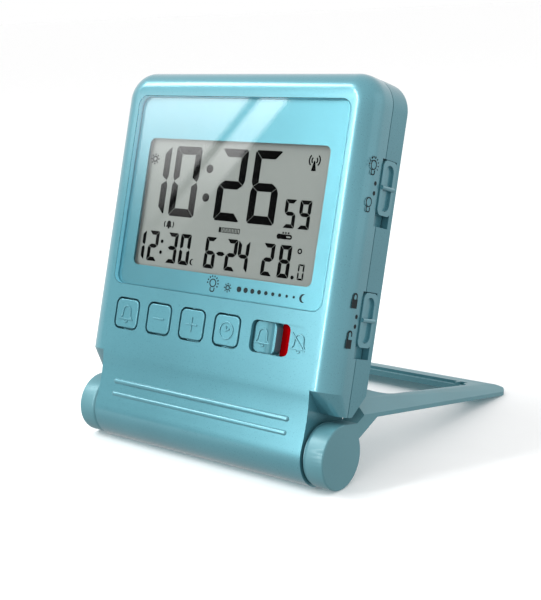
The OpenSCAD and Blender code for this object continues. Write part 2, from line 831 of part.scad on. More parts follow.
module alarm_flag() {
    color(red) place() plate(alarm_floor - flag_t, alarm_floor)
        intersection() {
            translate([alarm_x + alarm_slot_w/2, key_z])
                round_rect(alarm_slot_w - 2*set_gap, alarm_slot_h - 2*set_gap, alarm_slot_r - set_gap);
            translate([alarm_x + alarm_slot_w - set_gap - flag_w, key_z - key_h]) square([2*flag_w, 2*key_h]);
        }
}

module alarm_switch() {
    color(black) place() translate([stem_x, 0, key_z]) difference() {
        block([-alarm_stem_w/2 - 2, alarm_base_y, -3], [alarm_stem_w/2 + alarm_travel + 2, board_y, 3]);
        block([-alarm_stem_w/2 - slide_gap, alarm_base_y - 1, -stem_h/2 - slide_gap],
              [alarm_stem_w/2 + alarm_travel + slide_gap, board_y - 0.3, stem_h/2 + slide_gap]);
    }
}

// One side slide: knob with an oval finger hollow, plate behind the wall and stem
module side_slide(up) {
    mid = side_l/2;
    place() translate([0, side_y, crease_up + up - slide_gap - mid]) difference() {
        union() {
            translate([in_x - side_sink, 0, 0]) rotate([90, 0, 90])
                linear_extrude(wall + side_sink + side_proud) round_rect(side_w - 2*slide_gap, side_l, side_r);
            block([side_in, -side_w/2 - side_sink, -mid - side_travel - 2*slide_gap - side_over],
                  [in_x - set_gap, back_in - side_y - set_gap, mid + side_travel + side_over]);
            block([side_in - side_stem, -stem_h/2, -stem_w/2], [side_in + side_sink, stem_h/2, stem_w/2]);
            translate([half_w + side_proud, 0, 0]) rotate([90, 0, 0])
                cylinder(h = side_w - 2*slide_gap - 2*side_sink, r = side_bar_r, center = true);
        }
        difference() {
            translate([half_w + side_proud - hollow_d, 0, 0]) rotate([90, 0, 90]) linear_extrude(2)
                round_rect(hollow_w, side_l - 2*side_rim, hollow_w/2 - 0.05);
            block([half_w - 1, -side_w, -side_bar_r], [half_w + 3, side_w, side_bar_r]);
        }
    }
}

// Switch on the board's edge that a side slide works
module side_switch(up) {
    place() translate([0, side_y, crease_up + up - slide_gap - side_l/2]) difference() {
        block([side_in - side_stem - 1.6, board_back - side_y, -stem_w/2 - side_travel - 2],
              [side_in - pass_gap, stem_h/2 + slide_gap + 0.9, stem_w/2 + 2]);
        block([side_in - side_stem - slide_gap, -stem_h/2 - slide_gap, -stem_w/2 - side_travel - slide_gap],
              [side_in + 1, stem_h/2 + slide_gap, stem_w/2 + slide_gap]);
    }
}

module light_slide() {
    color(teal) side_slide(light_up);
}

module light_switch() {
    color(black) side_switch(light_up);
}

module lock_slide() {
    color(teal) side_slide(lock_up);
}

module lock_switch() {
    color(black) side_switch(lock_up);
}

nub_l = 1;

module battery_cells() {
    color([0.2, 0.25, 0.4]) place() for (s = [-1, 1])
        translate([0, cell_y, bay_z + s*cell_pitch/2]) rotate([0, s > 0 ? 0 : 180, 0]) {
            rod_x(cell_r, -cell_l/2, cell_l/2 - nub_l);
            rod_x(1.9, cell_l/2 - nub_l - 0.5, cell_l/2);
        }
}

module battery_contacts() {
    spring_r = 3.4;
    spring_cut = 0.6;
    button_r = 1.6;
    coil_step = (bay_x - cell_l/2 - leaf_t)/3;
    color(steel) place() {
        // Bridge on the left, a leaf for each cell on the right
        block([-bay_x, cell_y - leaf_w/2, bay_z - cell_pitch/2 - leaf_w/2],
              [-bay_x + leaf_t, cell_y + leaf_w/2, bay_z + cell_pitch/2 + leaf_w/2]);
        for (s = [-1, 1])
            block([bay_x - leaf_t, cell_y - leaf_w/2, bay_z + s*cell_pitch/2 - leaf_w/2],
                  [bay_x, cell_y + leaf_w/2, bay_z + s*cell_pitch/2 + leaf_w/2]);
        // Spring on each cell's flat end and stud on its nub
        for (s = [-1, 1]) translate([0, cell_y, bay_z + s*cell_pitch/2]) rotate([0, s > 0 ? 0 : 180, 0]) {
            for (k = [0:2]) rod_x(spring_r - spring_cut*k, -bay_x, -bay_x + leaf_t + (k + 1)*coil_step);
            rod_x(button_r, cell_l/2, bay_x);
        }
    }
}

module battery_door() {
    color(teal_dark) place() {
        block([-door_x, door_y, door_z0], [door_x, hump_y, door_z1 - set_gap]);
        block([-bay_x - tongue, door_y + tongue_in + set_gap, door_z0],
              [bay_x + tongue, door_y + tongue_in + set_gap + tongue_t, door_z1 - set_gap]);
        // Grip ribs
        for (i = [0:2]) translate([0, hump_y, door_z0 + grip_up + grip_pitch*i])
            block([-grip_l/2, -0.2, 0], [grip_l/2, grip_proud, grip_w]);
    }
}

module case_screws() {
    color(steel) place() for (p = case_fix) translate([p[0], 0, p[1]]) difference() {
        union() {
            rod_y(screw_r, inner_y + 1, back_y - 0.6);
            rod_y(head_r, back_y - head_d - head_sink, back_y - head_sink);
        }
        translate([0, back_y - head_sink - cross_d, 0]) {
            block([-cross_w/2, 0, -cross_l/2], [cross_w/2, head_d, cross_l/2]);
            block([-cross_l/2, 0, -cross_w/2], [cross_l/2, head_d, cross_w/2]);
        }
    }
}

// Side view of the stand: flared root, arms and far bar
function flare_at(i) = flare_y + flare_l*i/flare_n;
function flare(y) = root_h - (root_h - arm_h)*sin(90*min(1, max(0, (y - flare_y)/flare_l)));
module stand_side() {
    low = stand_low;
    bar_y = stand_reach - bar_w;
    polygon(concat(
        [[root_start, low], [root_start, low + root_h - root_drop], [root_knee, low + root_h]],
        [for (i = [0:flare_n]) [flare_at(i), low + flare(flare_at(i))]],
        [[bar_y, low + bar_h]],
        [for (t = [0:15:90])
            [bar_y + bar_flat + (bar_w - bar_flat)*sin(t), low + band_h + (bar_h - band_h)*cos(t)]],
        [[stand_reach, low]]));
}

// Side view of a neck: a web level with the knuckle, rising to the root of an arm
module neck_side() {
    polygon([[0, 0], [0, web_top], [web_end, web_top], [neck_y, stand_low + neck_step],
             [neck_y + neck_run, neck_top], [root_y, neck_top], [root_y, stand_low],
             [root_y - 1.5, stand_low], [neck_y - 0.3, neck_low]]);
}

// Half section of a knuckle with rounded rims, from its axis outwards
module knuckle_section() {
    length = half_w - knuckle_x;
    square([knuckle_r - knuckle_rim, length]);
    translate([0, knuckle_bevel]) square([knuckle_r, length - knuckle_bevel - knuckle_rim]);
    translate([knuckle_r - knuckle_rim, length - knuckle_rim]) circle(knuckle_rim);
    translate([knuckle_r - knuckle_bevel, knuckle_bevel]) circle(knuckle_bevel);
}

// Cross view of the stand: upright outer bands and bevels towards the inside
module stand_cross() {
    top = (root_h - band_h)/bevel_k;
    polygon([[-half_w, stand_low], [half_w, stand_low], [half_w, stand_low + band_h],
             [half_w - top, stand_low + root_h], [half_w - top, stand_low + root_h + 1],
             [-half_w + top, stand_low + root_h + 1], [-half_w + top, stand_low + root_h],
             [-half_w, stand_low + band_h]]);
}

// Plan of the stand with rounded far corners
module stand_plan() {
    translate([-half_w, 0]) square([case_w, stand_reach - stand_r]);
    translate([-half_w + stand_r, 0]) square([case_w - 2*stand_r, stand_reach]);
    for (s = [-1, 1]) translate([s*(half_w - stand_r), stand_reach - stand_r]) circle(stand_r);
}

// Plan of the window inside the stand, narrower where the arms flare at the root
module stand_window() {
    far = stand_reach - bar_w;
    polygon(concat(
        [[-root_in, 0], [root_in, 0]],
        [for (i = [0:flare_n]) [root_in + (arm_in - root_in)*sin(90*i/flare_n), flare_at(i)]],
        [[arm_in, far - 2], [arm_in - 2, far], [-arm_in + 2, far], [-arm_in, far - 2]],
        [for (i = [flare_n:-1:0]) [-root_in - (arm_in - root_in)*sin(90*i/flare_n), flare_at(i)]]));
}

module stand_frame() {
    color(teal_dark) stand_place() difference() {
        union() {
            difference() {
                intersection() {
                    translate([0, 0, stand_low]) linear_extrude(root_h + 1) stand_plan();
                    plate(0, stand_reach) stand_cross();
                    along_x(-half_w, half_w) stand_side();
                }
                translate([0, 0, stand_low - 1]) linear_extrude(root_h + 3) stand_window();
                block([-half_w - 1, -1, stand_low - 1], [half_w + 1, arm_y, stand_low + root_h + 1]);
            }
            // Knuckles at the hinge line, and necks bevelled like the arms
            for (s = [0, 1]) mirror([s, 0, 0]) {
                translate([knuckle_x, 0, 0]) rotate([0, 90, 0]) rotate_extrude() knuckle_section();
                difference() {
                    along_x(knuckle_x + knuckle_bevel, half_w) neck_side();
                    translate([half_w, 0, stand_low + band_h]) rotate([0, atan(bevel_k), 0])
                        block([-2*arm_w, -1, 0], [arm_w, root_y + 1, arm_w]);
                }
            }
        }
        for (s = [0, 1]) mirror([s, 0, 0]) rod_x(pin_r + thread_gap, knuckle_x - 1, pin_x1 + 0.1);
        // Hollow under the far bar, and a groove along its inner edge with a short pocket beyond each end
        block([-arm_in + 1, stand_reach - bar_w - 1, stand_low - 1],
              [arm_in - 1, foot_y - 2.5, stand_low + hollow_h]);
        translate([0, stand_reach - bar_w, stand_low + bar_h - bar_groove]) {
            block([-groove_x, -1, 0], [groove_x, groove_depth, 2]);
            for (s = [0, 1]) mirror([s, 0, 0]) translate([groove_x + pocket_gap, 0, 0])
                block([0, -1, 0], [pocket_l, groove_depth, 2]);
        }
        // Flat foot, parallel to the table
        rotate([stand_tilt, 0, 0])
            block([-half_w - 1, foot_y - 5, -sole_h - 10], [half_w + 1, stand_reach + 10, -sole_h]);
    }
}

module hinge_pins() {
    color(steel) stand_place() for (s = [0, 1]) mirror([s, 0, 0]) rod_x(pin_r, pin_x0, pin_x1);
}

module hinge_bushes() {
    color(white) place() for (s = [0, 1]) mirror([s, 0, 0]) difference() {
        rod_x(bush_r, pin_x0, barrel_w/2);
        rod_x(pin_r + run_gap, pin_x0 - 1, half_w);
    }
}

module friction_washers() {
    color(black) stand_place() for (s = [0, 1]) mirror([s, 0, 0]) difference() {
        rod_x(pin_r + 2.6, barrel_w/2 + run_gap, knuckle_x - run_gap);
        rod_x(pin_r + thread_gap, barrel_w/2 - 1, half_w);
    }
}

front_case();
rear_case();
display_lens();
lens_film();
lcd_glass();
lcd_holder();
light_guide();
night_leds();
contact_strip();
main_board();
board_screws();
controller_chip();
quartz_crystal();
receiver_board();
antenna_rod();
antenna_coil();
buzzer();
light_sensor();
heat_sensor();
key_switches();
alarm_key();
minus_key();
plus_key();
time_key();
alarm_slide();
alarm_flag();
alarm_switch();
light_slide();
light_switch();
lock_slide();
lock_switch();
battery_cells();
battery_contacts();
battery_door();
case_screws();
stand_frame();
hinge_pins();
hinge_bushes();
friction_washers();
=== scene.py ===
"""Looks of a folding travel alarm clock: finishes of its nodes, display figures, marks, light and camera."""
import json
import math

import bmesh
import bpy
from mathutils import Matrix, Vector


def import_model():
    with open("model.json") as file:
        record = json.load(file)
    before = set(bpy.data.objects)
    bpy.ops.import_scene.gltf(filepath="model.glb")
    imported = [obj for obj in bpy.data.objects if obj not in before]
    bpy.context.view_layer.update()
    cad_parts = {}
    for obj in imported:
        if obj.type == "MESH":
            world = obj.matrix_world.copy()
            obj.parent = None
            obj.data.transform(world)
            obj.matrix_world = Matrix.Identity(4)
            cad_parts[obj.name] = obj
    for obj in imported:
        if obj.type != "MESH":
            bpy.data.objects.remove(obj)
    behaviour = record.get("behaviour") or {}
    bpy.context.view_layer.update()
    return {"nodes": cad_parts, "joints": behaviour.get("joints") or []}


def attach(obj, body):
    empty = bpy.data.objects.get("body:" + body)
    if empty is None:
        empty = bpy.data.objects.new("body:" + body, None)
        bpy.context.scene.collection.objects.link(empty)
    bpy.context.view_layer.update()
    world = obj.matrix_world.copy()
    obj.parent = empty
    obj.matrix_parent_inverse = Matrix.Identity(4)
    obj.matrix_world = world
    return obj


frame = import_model()

NODES = frame["nodes"]
JOINTS = {joint["name"]: joint for joint in frame["joints"]}
MM = 0.001

# The upright case: millimetres with x to the right, y into the face and z up the face, from the hinge axis
PRESS = Vector(JOINTS["alarm_key_press"]["axis"])
HINGE = Vector(JOINTS["stand_hinge"]["pos_m"])
LEAN = Matrix(((1, 0, 0), (0, PRESS.y, -PRESS.z), (0, PRESS.z, PRESS.y)))
PLACE = Matrix.Translation(HINGE) @ LEAN.to_4x4() @ Matrix.Scale(MM, 4)
UNPLACE = PLACE.inverted()


def case_box(node):
    """Lowest and highest corner of a node in the upright case's millimetres."""
    points = [UNPLACE @ v.co for v in NODES[node].data.vertices]
    low = Vector([min(p[i] for p in points) for i in range(3)])
    high = Vector([max(p[i] for p in points) for i in range(3)])
    return low, high


# Places read from the frame
LENS_LOW = case_box("display_lens")[0]
FACE_Y = LENS_LOW.y
LENS_Z = LENS_LOW.z
GLASS_Y = case_box("lcd_glass")[0].y
FILM_Y = case_box("lens_film")[0].y
SIDE_X = case_box("front_case")[1].x

# The span in which most of a noise's values lie
NOISE_LOW = 0.3
NOISE_HIGH = 0.7


# Node helpers for materials
def new_material(name):
    """A material with its node tree and its Principled shader."""
    material = bpy.data.materials.new(name)
    material.use_nodes = True
    tree = material.node_tree
    shader = tree.nodes["Principled BSDF"]
    return material, tree, shader


def add_node(tree, kind, **values):
    """A new node. Each value goes to the input of that name, or else to the node's own attribute."""
    node = tree.nodes.new(kind)
    for key, value in values.items():
        if key in node.inputs:
            node.inputs[key].default_value = value
        else:
            setattr(node, key, value)
    return node


def noise(tree, scale, detail):
    """Noise over the piece's own metres; returns its factor socket."""
    coords = add_node(tree, "ShaderNodeTexCoord")
    texture = add_node(tree, "ShaderNodeTexNoise", Scale=scale, Detail=detail)
    tree.links.new(coords.outputs["Object"], texture.inputs["Vector"])
    return texture.outputs["Fac"]


def mean(tree, first, second):
    """The mean of two factors."""
    total = add_node(tree, "ShaderNodeMath", operation="ADD")
    tree.links.new(first, total.inputs[0])
    tree.links.new(second, total.inputs[1])
    half = add_node(tree, "ShaderNodeMath", operation="MULTIPLY")
    half.inputs[1].default_value = 0.5
    tree.links.new(total.outputs[0], half.inputs[0])
    return half.outputs[0]


def ramp(tree, factor, stops):
    """A colour ramp over a factor; stops are (place, colour) pairs."""
    node = add_node(tree, "ShaderNodeValToRGB")
    tree.links.new(factor, node.inputs["Fac"])
    elements = node.color_ramp.elements
    while len(elements) < len(stops):
        elements.new(0.5)
    for element, (place, colour) in zip(elements, stops):
        element.position = place
        element.color = (*colour, 1)
    return node.outputs["Color"]


def spread(tree, factor, low, high):
    """A noise's usual span stretched over a range of values."""
    node = add_node(tree, "ShaderNodeMapRange")
    node.inputs["From Min"].default_value = NOISE_LOW
    node.inputs["From Max"].default_value = NOISE_HIGH
    node.inputs["To Min"].default_value = low
    node.inputs["To Max"].default_value = high
    tree.links.new(factor, node.inputs["Value"])
    return node.outputs["Result"]


def bump(tree, shader, factor, height, strength):
    """Fine relief of a height in metres on a shader."""
    node = add_node(tree, "ShaderNodeBump", Strength=strength, Distance=height)
    tree.links.new(factor, node.inputs["Height"])
    tree.links.new(node.outputs["Normal"], shader.inputs["Normal"])


def shade(colour, factor):
    """A colour made darker or lighter."""
    return tuple(min(1.0, channel * factor) for channel in colour)


# Scales of the finishes, in features per metre
FLAKE = 5200
PEEL = 900
CLOUD = 45
GRAIN = 2600
STEEL_GRAIN = 3500
POLARISER_GRAIN = 9000
DISPLAY_CLOUD = 30
WINDING = 900
FLOOR_GRAIN = 60

# Relief, tone and coat of the finishes
PEEL_HEIGHT = 0.03 * MM
GRAIN_HEIGHT = 0.02 * MM
WIRE_HEIGHT = 0.05 * MM
PEARL_TONE = 0.07
DISPLAY_TONE = 0.04
COAT_ROUGHNESS = 0.13
# The wire's colour runs from dark in the grooves between turns to light on their crests: painted shade and
# painted highlight
WIRE_GROOVE_SHADE = (0.16, 0.05, 0.02)
WIRE_CREST_HIGHLIGHT = (0.62, 0.25, 0.1)

# The lens: its mirror's share and roughness, what it lets through, and how squarely a flat faces the front
LENS_GLOSS = 0.065
LENS_ROUGHNESS = 0.03
LENS_CLEAR = (0.985, 0.995, 0.995, 1)
LENS_FLAT = 0.6
# The lens's cut edges are painted with the print's colour made this many times brighter: a painted reflection
# of the print, as bright as the print though less light reaches them
EDGE_REFLECTION_GAIN = 2.5
# The lens is drawn this much inside its own surface, so that it and the film behind it don't share a face
LENS_LIFT = 0.03 * MM


def metallic_paint(name, colour, metallic=0.45, rough=0.31, coat=0.75):
    """Pearl lacquer on plastic: flakes, slow clouding and a faint orange peel."""
    material, tree, shader = new_material(name)
    flakes = noise(tree, FLAKE, 2.0)
    tone = mean(tree, flakes, noise(tree, CLOUD, 2.0))
    stops = [(0.36, shade(colour, 1 - PEARL_TONE)), (0.5, colour), (0.64, shade(colour, 1 + PEARL_TONE))]
    tree.links.new(ramp(tree, tone, stops), shader.inputs["Base Color"])
    tree.links.new(spread(tree, flakes, rough - 0.04, rough + 0.05), shader.inputs["Roughness"])
    bump(tree, shader, noise(tree, PEEL, 2.0), PEEL_HEIGHT, 0.12)
    shader.inputs["Metallic"].default_value = metallic
    shader.inputs["Coat Weight"].default_value = coat
    shader.inputs["Coat Roughness"].default_value = COAT_ROUGHNESS
    return material


def moulded_plastic(name, colour, rough=0.5, tone=0.08, metallic=0.0, scale=GRAIN, specular=0.5):
    """Plain moulded plastic or metal with a fine grain in colour, gloss and relief."""
    material, tree, shader = new_material(name)
    grain = noise(tree, scale, 4.0)
    stops = [(0.32, shade(colour, 1 - tone)), (0.68, shade(colour, 1 + tone))]
    tree.links.new(ramp(tree, grain, stops), shader.inputs["Base Color"])
    tree.links.new(spread(tree, grain, rough - 0.06, rough + 0.06), shader.inputs["Roughness"])
    bump(tree, shader, grain, GRAIN_HEIGHT, 0.2)
    shader.inputs["Metallic"].default_value = metallic
    shader.inputs["Specular IOR Level"].default_value = specular
    return material


def clear_lens(name, print_reflection):
    """Clear acrylic with a little gloss. Its cut edges are painted with the print's colour made brighter: a
    painted reflection of the print, which they mirror.
    """
    material, tree, edge = new_material(name)
    edge.inputs["Base Color"].default_value = (*print_reflection, 1)
    edge.inputs["Roughness"].default_value = 0.5
    edge.inputs["Specular IOR Level"].default_value = 0.1
    through = add_node(tree, "ShaderNodeBsdfTransparent", Color=LENS_CLEAR)
    gloss = add_node(tree, "ShaderNodeBsdfGlossy", Roughness=LENS_ROUGHNESS, Color=(1, 1, 1, 1))
    clear = add_node(tree, "ShaderNodeMixShader", Fac=LENS_GLOSS)
    tree.links.new(through.outputs["BSDF"], clear.inputs[1])
    tree.links.new(gloss.outputs["BSDF"], clear.inputs[2])
    coords = add_node(tree, "ShaderNodeTexCoord")
    facing = add_node(tree, "ShaderNodeVectorMath", operation="DOT_PRODUCT")
    facing.inputs[1].default_value = PRESS
    either = add_node(tree, "ShaderNodeMath", operation="ABSOLUTE")
    flat = add_node(tree, "ShaderNodeMath", operation="GREATER_THAN")
    flat.inputs[1].default_value = LENS_FLAT
    tree.links.new(coords.outputs["Normal"], facing.inputs[0])
    tree.links.new(facing.outputs["Value"], either.inputs[0])
    tree.links.new(either.outputs[0], flat.inputs[0])
    mix = add_node(tree, "ShaderNodeMixShader")
    tree.links.new(flat.outputs[0], mix.inputs["Fac"])
    tree.links.new(edge.outputs["BSDF"], mix.inputs[1])
    tree.links.new(clear.outputs["Shader"], mix.inputs[2])
    tree.links.new(mix.outputs["Shader"], tree.nodes["Material Output"].inputs["Surface"])
    return material


def display_glass(name, colour):
    """The display's reflective ground: grey-green with a very fine polariser grain and slow tone."""
    material, tree, shader = new_material(name)
    grain = noise(tree, POLARISER_GRAIN, 2.0)
    tone = mean(tree, grain, noise(tree, DISPLAY_CLOUD, 1.0))
    stops = [(0.38, shade(colour, 1 - DISPLAY_TONE)), (0.62, shade(colour, 1 + DISPLAY_TONE))]
    tree.links.new(ramp(tree, tone, stops), shader.inputs["Base Color"])
    tree.links.new(spread(tree, grain, 0.4, 0.5), shader.inputs["Roughness"])
    shader.inputs["Specular IOR Level"].default_value = 0.1
    return material


def copper_winding(name):
    """Fine enamelled wire wound round the rod: bands along x, painted darker in the grooves between turns and
    lighter on their crests, a painted shade and highlight.
    """
    material, tree, shader = new_material(name)
    coords = add_node(tree, "ShaderNodeTexCoord")
    wave = add_node(tree, "ShaderNodeTexWave", Scale=WINDING, Distortion=0.2)
    tree.links.new(coords.outputs["Object"], wave.inputs["Vector"])
    turns = wave.outputs["Fac"]
    tree.links.new(ramp(tree, turns, [(0.1, WIRE_GROOVE_SHADE), (0.8, WIRE_CREST_HIGHLIGHT)]), shader.inputs["Base Color"])
    tree.links.new(spread(tree, turns, 0.25, 0.4), shader.inputs["Roughness"])
    bump(tree, shader, turns, WIRE_HEIGHT, 0.5)
    shader.inputs["Metallic"].default_value = 0.8
    return material


# Colours, linear
TEAL = (0.09, 0.274, 0.329)
# The rear case's teal is the case teal made a little darker: painted shade on the rear half and its side,
# which the lamps light less
TEAL_BACK_SHADED = (0.086, 0.255, 0.306)
# The stand's teal is the case teal made darker and greyer: painted shade, as the stand sits behind the case
# out of the front light
TEAL_STAND_SHADED = (0.092, 0.245, 0.286)
PRINT_BLUE = (0.124, 0.325, 0.385)
LCD_GREY = (0.275, 0.285, 0.268)
INK = (0.0008, 0.001, 0.001)
MARK_GREY = (0.008, 0.016, 0.019)
RED = (0.38, 0.0, 0.002)

PAINT = metallic_paint("pearl_teal", TEAL)
PAINT_KEY = metallic_paint("pearl_teal_key", TEAL, coat=0.2)
# Paint of the rear case and battery door, darkened by painted shade
PAINT_BACK_SHADED = metallic_paint("pearl_teal_back_shaded", TEAL_BACK_SHADED, coat=0.3)
# Paint of the stand, darkened by painted shade
PAINT_STAND_SHADED = metallic_paint("pearl_teal_stand_shaded", TEAL_STAND_SHADED, metallic=0.15, rough=0.4, coat=0.1)
PRINT = metallic_paint("lens_print_blue", PRINT_BLUE, metallic=0.75, rough=0.32, coat=0.0)
# The lens's cut edges carry a painted reflection of the print: its colour made brighter
LENS = clear_lens("clear_acrylic", shade(PRINT_BLUE, EDGE_REFLECTION_GAIN))
LCD = display_glass("lcd_ground", LCD_GREY)
SEGMENT = moulded_plastic("lcd_segment", INK, rough=0.5, specular=0.0)
MARK = moulded_plastic("printed_mark", MARK_GREY, rough=0.55, specular=0.2)
FLAG = moulded_plastic("red_plastic", RED, rough=0.6, specular=0.0)
BLACK = moulded_plastic("black_plastic", (0.02, 0.02, 0.022), rough=0.45)
WHITE = moulded_plastic("white_plastic", (0.72, 0.72, 0.7), rough=0.4, tone=0.04)
STEEL = moulded_plastic("bright_steel", (0.6, 0.61, 0.62), rough=0.28, metallic=1.0, scale=STEEL_GRAIN)
GREEN = moulded_plastic("board_green", (0.02, 0.16, 0.06), rough=0.35)
FERRITE = moulded_plastic("ferrite", (0.05, 0.047, 0.045), rough=0.6, tone=0.2)
COPPER = copper_winding("enamelled_wire")
JACKET = moulded_plastic("cell_jacket", (0.06, 0.1, 0.22), rough=0.3)
RUBBER = moulded_plastic("contact_rubber", (0.05, 0.05, 0.055), rough=0.7)

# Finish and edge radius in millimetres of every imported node
FINISH = {
    "front_case": (PAINT, 0.12),
    "rear_case": (PAINT_BACK_SHADED, 0.15),
    "stand_frame": (PAINT_STAND_SHADED, 0.3),
    "alarm_key": (PAINT_KEY, 0.3),
    "minus_key": (PAINT_KEY, 0.3),
    "plus_key": (PAINT_KEY, 0.3),
    "time_key": (PAINT_KEY, 0.3),
    "alarm_slide": (PAINT_KEY, 0.3),
    "light_slide": (PAINT, 0.25),
    "lock_slide": (PAINT, 0.25),
    "battery_door": (PAINT_BACK_SHADED, 0.2),
    "display_lens": (LENS, 0),
    "lens_film": (PRINT, 0),
    "lcd_glass": (LCD, 0.05),
    "lcd_holder": (WHITE, 0.1),
    "light_guide": (WHITE, 0.05),
    "night_leds": (WHITE, 0.05),
    "contact_strip": (RUBBER, 0.05),
    "main_board": (GREEN, 0),
    "board_screws": (STEEL, 0.05),
    "controller_chip": (BLACK, 0.05),
    "quartz_crystal": (STEEL, 0.1),
    "receiver_board": (GREEN, 0),
    "antenna_rod": (FERRITE, 0.1),
    "antenna_coil": (COPPER, 0.05),
    "buzzer": (BLACK, 0.1),
    "light_sensor": (BLACK, 0.05),
    "heat_sensor": (BLACK, 0.05),
    "key_switches": (BLACK, 0.05),
    "alarm_flag": (FLAG, 0.05),
    "alarm_switch": (BLACK, 0.05),
    "light_switch": (BLACK, 0.05),
    "lock_switch": (BLACK, 0.05),
    "battery_cells": (JACKET, 0.15),
    "battery_contacts": (STEEL, 0.03),
    "case_screws": (STEEL, 0.08),
    "hinge_pins": (STEEL, 0.15),
    "hinge_bushes": (WHITE, 0.05),
    "friction_washers": (BLACK, 0.03),
}

SMOOTH_ANGLE = math.radians(32)
FLAT_ANGLE = math.radians(0.1)
WELD_REACH = 0.002 * MM
EDGE_SEGMENTS = 3


def crease_group():
    """A modifier's node group: drops stored normals and creases every edge sharper than the smooth angle."""
    group = bpy.data.node_groups.new("creases", "GeometryNodeTree")
    group.interface.new_socket("Geometry", in_out="INPUT", socket_type="NodeSocketGeometry")
    group.interface.new_socket("Geometry", in_out="OUTPUT", socket_type="NodeSocketGeometry")
    entry = group.nodes.new("NodeGroupInput")
    leave = group.nodes.new("NodeGroupOutput")
    angle = group.nodes.new("GeometryNodeInputMeshEdgeAngle")
    sharper = group.nodes.new("FunctionNodeCompare")
    sharper.data_type = "FLOAT"
    sharper.operation = "GREATER_THAN"
    sharper.inputs["B"].default_value = SMOOTH_ANGLE
    normals = group.nodes.new("GeometryNodeSetMeshNormal")
    normals.mode = "SHARPNESS"
    group.links.new(angle.outputs["Unsigned Angle"], sharper.inputs["A"])
    group.links.new(entry.outputs["Geometry"], normals.inputs["Mesh"])
    group.links.new(sharper.outputs["Result"], normals.inputs["Edge Sharpness"])
    group.links.new(normals.outputs["Mesh"], leave.inputs["Geometry"])
    return group


CREASES = crease_group()


def crease(piece):
    """Evens a piece's shading between its sharp edges."""
    creases = piece.modifiers.new("creases", "NODES")
    creases.node_group = CREASES


def round_edges(piece, radius):
    """Rounds a piece's edges and keeps the faces beside them flat."""
    bevel = piece.modifiers.new("edges", "BEVEL")
    bevel.width = radius * MM
    bevel.segments = EDGE_SEGMENTS
    bevel.limit_method = "ANGLE"
    bevel.angle_limit = SMOOTH_ANGLE
    bevel.use_clamp_overlap = True
    bevel.harden_normals = True


def soften(node, radius):
    """Joins a node's split corners and flat triangles, evens its shading and rounds its edges."""
    weld = node.modifiers.new("weld", "WELD")
    weld.merge_threshold = WELD_REACH
    flats = node.modifiers.new("flats", "DECIMATE")
    flats.decimate_type = "DISSOLVE"
    flats.angle_limit = FLAT_ANGLE
    crease(node)
    if radius:
        round_edges(node, radius)


def finish_nodes():
    """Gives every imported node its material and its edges."""
    for name, (material, radius) in FINISH.items():
        node = NODES[name]
        node.data.materials.clear()
        node.data.materials.append(material)
        soften(node, radius)
    lift = NODES["display_lens"].modifiers.new("lift", "DISPLACE")
    lift.strength = -LENS_LIFT
    lift.mid_level = 0.0


# Flat shapes: lists of (points, faces) in a plane's own two millimetre axes
def polygon(points):
    """A filled outline."""
    return [(list(points), [tuple(range(len(points)))])]


def polar(centre, radius, degrees):
    """The point at a distance and an angle from a centre."""
    angle = math.radians(degrees)
    return centre[0] + radius * math.cos(angle), centre[1] + radius * math.sin(angle)


def arc(centre, radius, start, end, count):
    """Points of an arc, angles in degrees."""
    return [polar(centre, radius, start + (end - start) * i / count) for i in range(count + 1)]


def disc(centre, radius, count=28):
    """A filled circle."""
    return polygon(arc(centre, radius, 0, 360, count)[:-1])


# A band's corner reaches no further out than half its width over this
SHARPEST_MITRE = 0.4


def stroke(points, width, closed=False):
    """A band of even width along a line of points, mitred at its corners."""
    count = len(points)
    sides = []
    for i, point in enumerate(points):
        here = Vector(point)
        before = Vector(points[i - 1]) if closed or i else None
        after = Vector(points[(i + 1) % count]) if closed or i < count - 1 else None
        normals = []
        for start, end in ((before, here), (here, after)):
            if start is not None and end is not None:
                run = (end - start).normalized()
                normals.append(Vector((-run.y, run.x)))
        normal = sum(normals, Vector((0, 0))).normalized()
        reach = width / 2 / max(SHARPEST_MITRE, normal.dot(normals[0]))
        sides += [tuple(here + normal * reach), tuple(here - normal * reach)]
    faces = []
    for i in range(count if closed else count - 1):
        a, b = 2 * i, 2 * ((i + 1) % count)
        faces.append((a, a + 1, b + 1, b))
    return [(sides, faces)]


def ring(centre, radius, width, count=28):
    """A circle drawn as a band."""
    return stroke(arc(centre, radius, 0, 360, count)[:-1], width, closed=True)


def inset(points, gap):
    """A convex outline with its edges drawn in by a gap."""
    middle = sum((Vector(p) for p in points), Vector((0, 0))) / len(points)
    lines = []
    for i, point in enumerate(points):
        start, end = Vector(point), Vector(points[(i + 1) % len(points)])
        run = (end - start).normalized()
        normal = Vector((-run.y, run.x))
        if normal.dot(middle - start) < 0:
            normal = -normal
        lines.append((start + normal * gap, run))
    corners = []
    for i, (start, run) in enumerate(lines):
        other, along = lines[i - 1]
        cross = along.x * run.y - along.y * run.x
        offset = start - other
        reach = (offset.x * run.y - offset.y * run.x) / cross
        corners.append(tuple(other + along * reach))
    return corners


def rays(centre, reach, angles, width):
    """Short lines round a centre, each from one distance to another."""
    shapes = []
    for degrees in angles:
        shapes += stroke([polar(centre, distance, degrees) for distance in reach], width)
    return shapes


def moved(shapes, x, v, size=1.0):
    """Shapes scaled and moved in their plane."""
    return [([(x + size * p[0], v + size * p[1]) for p in points], faces) for points, faces in shapes]


def placed(signs):
    """Signs at their places, each given as shapes, the two axes of its middle, and size."""
    return [shape for shapes, x, v, size in signs for shape in moved(shapes, x, v, size)]


# Planes of the case: two plane axes and a height to the case's millimetres
def on_face(y):
    """A plane facing the front at depth y: across, up, and a rise towards the front."""
    return lambda u, v, rise: (u, y - rise, v)


def on_side(x):
    """The right side's plane at x: into the case, up, and a rise to the right."""
    return lambda u, v, rise: (x + rise, u, v)


